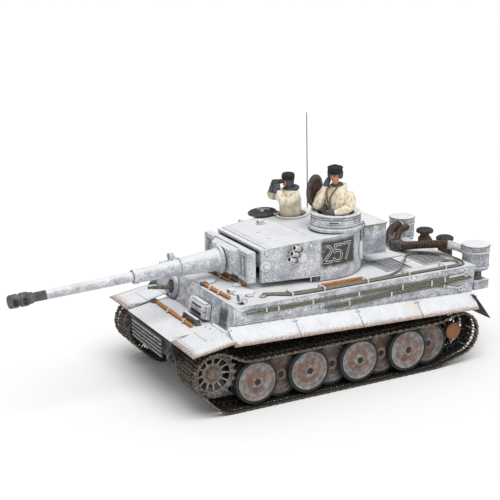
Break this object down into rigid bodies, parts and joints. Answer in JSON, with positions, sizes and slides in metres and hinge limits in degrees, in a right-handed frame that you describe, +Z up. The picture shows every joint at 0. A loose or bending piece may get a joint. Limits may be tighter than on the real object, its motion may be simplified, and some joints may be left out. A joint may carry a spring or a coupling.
{
  "type": "remote-controlled model tank",
  "caption": "Whitewashed radio-controlled model heavy tank with interleaved wheels, traversing turret, elevating recoiling gun and crew figures.",
  "frame": {"origin": "on the floor, under the middle of the overall box", "axes": "+Y points to the rear of the tank and the gun points along -Y; +X is the tank's left; +Z is up"},
  "size_m": [0.1542, 0.3678, 0.1804],
  "materials": {
    "track_steel": "matt, weathered dark brown",
    "wheel_grey": "matt, weathered grey",
    "hose_brown": "matt",
    "wood": "matt, orange-brown",
    "cable": "matt olive",
    "figure": "matt, painted cream clothing",
    "battery_blue": "glossy sleeve",
    "board_green": "solder mask",
    "gear_white": "natural nylon",
    "shell_white": "matt whitewash over blue-grey",
    "dark_plastic": "matt black-brown",
    "antenna_steel": "blackened"
  },
  "bodies": {
    "hull": {"lower_hull": "shell_white", "upper_hull": "shell_white", "engine_deck": "shell_white", "driver_visor": "shell_white", "spare_track_rack": "dark_plastic", "filter_hoses": "hose_brown", "antenna": "antenna_steel", "track_cable": "cable", "tow_cable": "cable", "glacis_shovel": "wood", "battery_pack": "battery_blue", "control_board": "board_green", "track_guard_left": "shell_white", "track_guard_right": "shell_white", "headlight_left": "dark_plastic", "headlight_right": "dark_plastic", "air_filter_left": "shell_white", "air_filter_right": "shell_white", "exhaust_left": "dark_plastic", "exhaust_right": "dark_plastic", "gearbox_left": "gear_white", "gearbox_right": "gear_white", "track_left": "track_steel", "track_right": "track_steel"},
    "turret": {"turret_shell": "shell_white", "turret_ring_gear": "gear_white", "cupola": "shell_white", "stowage_bin": "shell_white", "smoke_launcher_left": "dark_plastic", "smoke_launcher_right": "dark_plastic", "commander_figure": "figure", "loader_figure": "figure"},
    "gun": {"mantlet": "shell_white"},
    "barrel": {"gun_barrel": "shell_white"},
    "commander_lid": {"commander_hatch": "dark_plastic"},
    "loader_lid": {"loader_hatch": "dark_plastic"},
    "bow_gun": {"hull_machine_gun": "dark_plastic"},
    "cover": {"battery_cover": "dark_plastic"},
    "switch": {"power_switch": "dark_plastic"},
    "sprocket_left": {"sprocket_left": "wheel_grey"},
    "idler_left": {"idler_left": "wheel_grey"},
    "wheel_left_1": {"road_wheel_left_1": "wheel_grey"},
    "wheel_left_2": {"road_wheel_left_2": "wheel_grey"},
    "wheel_left_3": {"road_wheel_left_3": "wheel_grey"},
    "wheel_left_4": {"road_wheel_left_4": "wheel_grey"},
    "wheel_left_5": {"road_wheel_left_5": "wheel_grey"},
    "wheel_left_6": {"road_wheel_left_6": "wheel_grey"},
    "wheel_left_7": {"road_wheel_left_7": "wheel_grey"},
    "wheel_left_8": {"road_wheel_left_8": "wheel_grey"},
    "sprocket_right": {"sprocket_right": "wheel_grey"},
    "idler_right": {"idler_right": "wheel_grey"},
    "wheel_right_1": {"road_wheel_right_1": "wheel_grey"},
    "wheel_right_2": {"road_wheel_right_2": "wheel_grey"},
    "wheel_right_3": {"road_wheel_right_3": "wheel_grey"},
    "wheel_right_4": {"road_wheel_right_4": "wheel_grey"},
    "wheel_right_5": {"road_wheel_right_5": "wheel_grey"},
    "wheel_right_6": {"road_wheel_right_6": "wheel_grey"},
    "wheel_right_7": {"road_wheel_right_7": "wheel_grey"},
    "wheel_right_8": {"road_wheel_right_8": "wheel_grey"}
  },
  "joints": [
    {"name": "turret_traverse", "type": "hinge", "parent": "hull", "child": "turret", "pos_m": [0, 0.03721, 0.07292], "axis": [0, 0, 1], "range_deg": [-115, 140]},
    {"name": "gun_elevation", "type": "hinge", "parent": "turret", "child": "gun", "pos_m": [0, -0.00029, 0.09137], "axis": [-1, 0, 0], "range_deg": [-2.5, 16]},
    {"name": "barrel_recoil", "type": "slide", "parent": "gun", "child": "barrel", "axis": [0, 0.999, 0.0441], "range_m": [0, 0.01]},
    {"name": "commander_lid_hinge", "type": "hinge", "parent": "turret", "child": "commander_lid", "pos_m": [0.00787, 0.05335, 0.12187], "axis": [-0.5299, 0.848, 0], "range_deg": [-18, 8]},
    {"name": "loader_lid_hinge", "type": "hinge", "parent": "turret", "child": "loader_lid", "pos_m": [-0.03581, 0.04421, 0.10874], "axis": [-0.6947, 0.7193, 0], "range_deg": [0, 45]},
    {"name": "bow_gun_swing", "type": "hinge", "parent": "hull", "child": "bow_gun", "pos_m": [-0.03458, -0.04529, 0.063], "axis": [0, 0, 1], "range_deg": [-15, 15]},
    {"name": "battery_cover_slide", "type": "slide", "parent": "hull", "child": "cover", "axis": [0, 1, 0], "range_m": [0, 0.045]},
    {"name": "power_switch_slide", "type": "slide", "parent": "hull", "child": "switch", "axis": [0, 1, 0], "range_m": [0, 0.0035]},
    {"name": "sprocket_left_spin", "type": "hinge", "parent": "hull", "child": "sprocket_left", "pos_m": [0.05833, -0.06279, 0.03], "axis": [1, 0, 0], "continuous": true},
    {"name": "idler_left_spin", "type": "hinge", "parent": "hull", "child": "idler_left", "pos_m": [0.05417, 0.14325, 0.02417], "axis": [1, 0, 0], "continuous": true},
    {"name": "wheel_left_1_spin", "type": "hinge", "parent": "hull", "child": "wheel_left_1", "pos_m": [0.05417, -0.02979, 0.01883], "axis": [1, 0, 0], "continuous": true},
    {"name": "wheel_left_2_spin", "type": "hinge", "parent": "hull", "child": "wheel_left_2", "pos_m": [0.05417, -0.00854, 0.01883], "axis": [1, 0, 0], "continuous": true},
    {"name": "wheel_left_3_spin", "type": "hinge", "parent": "hull", "child": "wheel_left_3", "pos_m": [0.05417, 0.01271, 0.01883], "axis": [1, 0, 0], "continuous": true},
    {"name": "wheel_left_4_spin", "type": "hinge", "parent": "hull", "child": "wheel_left_4", "pos_m": [0.05417, 0.03396, 0.01883], "axis": [1, 0, 0], "continuous": true},
    {"name": "wheel_left_5_spin", "type": "hinge", "parent": "hull", "child": "wheel_left_5", "pos_m": [0.05417, 0.05521, 0.01883], "axis": [1, 0, 0], "continuous": true},
    {"name": "wheel_left_6_spin", "type": "hinge", "parent": "hull", "child": "wheel_left_6", "pos_m": [0.05417, 0.07646, 0.01883], "axis": [1, 0, 0], "continuous": true},
    {"name": "wheel_left_7_spin", "type": "hinge", "parent": "hull", "child": "wheel_left_7", "pos_m": [0.05417, 0.09771, 0.01883], "axis": [1, 0, 0], "continuous": true},
    {"name": "wheel_left_8_spin", "type": "hinge", "parent": "hull", "child": "wheel_left_8", "pos_m": [0.05417, 0.11896, 0.01883], "axis": [1, 0, 0], "continuous": true},
    {"name": "sprocket_right_spin", "type": "hinge", "parent": "hull", "child": "sprocket_right", "pos_m": [-0.05833, -0.06279, 0.03], "axis": [1, 0, 0], "continuous": true},
    {"name": "idler_right_spin", "type": "hinge", "parent": "hull", "child": "idler_right", "pos_m": [-0.05417, 0.14325, 0.02417], "axis": [1, 0, 0], "continuous": true},
    {"name": "wheel_right_1_spin", "type": "hinge", "parent": "hull", "child": "wheel_right_1", "pos_m": [-0.05417, -0.02979, 0.01883], "axis": [1, 0, 0], "continuous": true},
    {"name": "wheel_right_2_spin", "type": "hinge", "parent": "hull", "child": "wheel_right_2", "pos_m": [-0.05417, -0.00854, 0.01883], "axis": [1, 0, 0], "continuous": true},
    {"name": "wheel_right_3_spin", "type": "hinge", "parent": "hull", "child": "wheel_right_3", "pos_m": [-0.05417, 0.01271, 0.01883], "axis": [1, 0, 0], "continuous": true},
    {"name": "wheel_right_4_spin", "type": "hinge", "parent": "hull", "child": "wheel_right_4", "pos_m": [-0.05417, 0.03396, 0.01883], "axis": [1, 0, 0], "continuous": true},
    {"name": "wheel_right_5_spin", "type": "hinge", "parent": "hull", "child": "wheel_right_5", "pos_m": [-0.05417, 0.05521, 0.01883], "axis": [1, 0, 0], "continuous": true},
    {"name": "wheel_right_6_spin", "type": "hinge", "parent": "hull", "child": "wheel_right_6", "pos_m": [-0.05417, 0.07646, 0.01883], "axis": [1, 0, 0], "continuous": true},
    {"name": "wheel_right_7_spin", "type": "hinge", "parent": "hull", "child": "wheel_right_7", "pos_m": [-0.05417, 0.09771, 0.01883], "axis": [1, 0, 0], "continuous": true},
    {"name": "wheel_right_8_spin", "type": "hinge", "parent": "hull", "child": "wheel_right_8", "pos_m": [-0.05417, 0.11896, 0.01883], "axis": [1, 0, 0], "continuous": true}
  ],
  "couplings": [
    {"joint": "idler_left_spin", "follows": "sprocket_left_spin", "ratio": 1.0324},
    {"joint": "wheel_left_1_spin", "follows": "sprocket_left_spin", "ratio": 0.955},
    {"joint": "wheel_left_2_spin", "follows": "sprocket_left_spin", "ratio": 0.955},
    {"joint": "wheel_left_3_spin", "follows": "sprocket_left_spin", "ratio": 0.955},
    {"joint": "wheel_left_4_spin", "follows": "sprocket_left_spin", "ratio": 0.955},
    {"joint": "wheel_left_5_spin", "follows": "sprocket_left_spin", "ratio": 0.955},
    {"joint": "wheel_left_6_spin", "follows": "sprocket_left_spin", "ratio": 0.955},
    {"joint": "wheel_left_7_spin", "follows": "sprocket_left_spin", "ratio": 0.955},
    {"joint": "wheel_left_8_spin", "follows": "sprocket_left_spin", "ratio": 0.955},
    {"joint": "idler_right_spin", "follows": "sprocket_right_spin", "ratio": 1.0324},
    {"joint": "wheel_right_1_spin", "follows": "sprocket_right_spin", "ratio": 0.955},
    {"joint": "wheel_right_2_spin", "follows": "sprocket_right_spin", "ratio": 0.955},
    {"joint": "wheel_right_3_spin", "follows": "sprocket_right_spin", "ratio": 0.955},
    {"joint": "wheel_right_4_spin", "follows": "sprocket_right_spin", "ratio": 0.955},
    {"joint": "wheel_right_5_spin", "follows": "sprocket_right_spin", "ratio": 0.955},
    {"joint": "wheel_right_6_spin", "follows": "sprocket_right_spin", "ratio": 0.955},
    {"joint": "wheel_right_7_spin", "follows": "sprocket_right_spin", "ratio": 0.955},
    {"joint": "wheel_right_8_spin", "follows": "sprocket_right_spin", "ratio": 0.955}
  ]
}
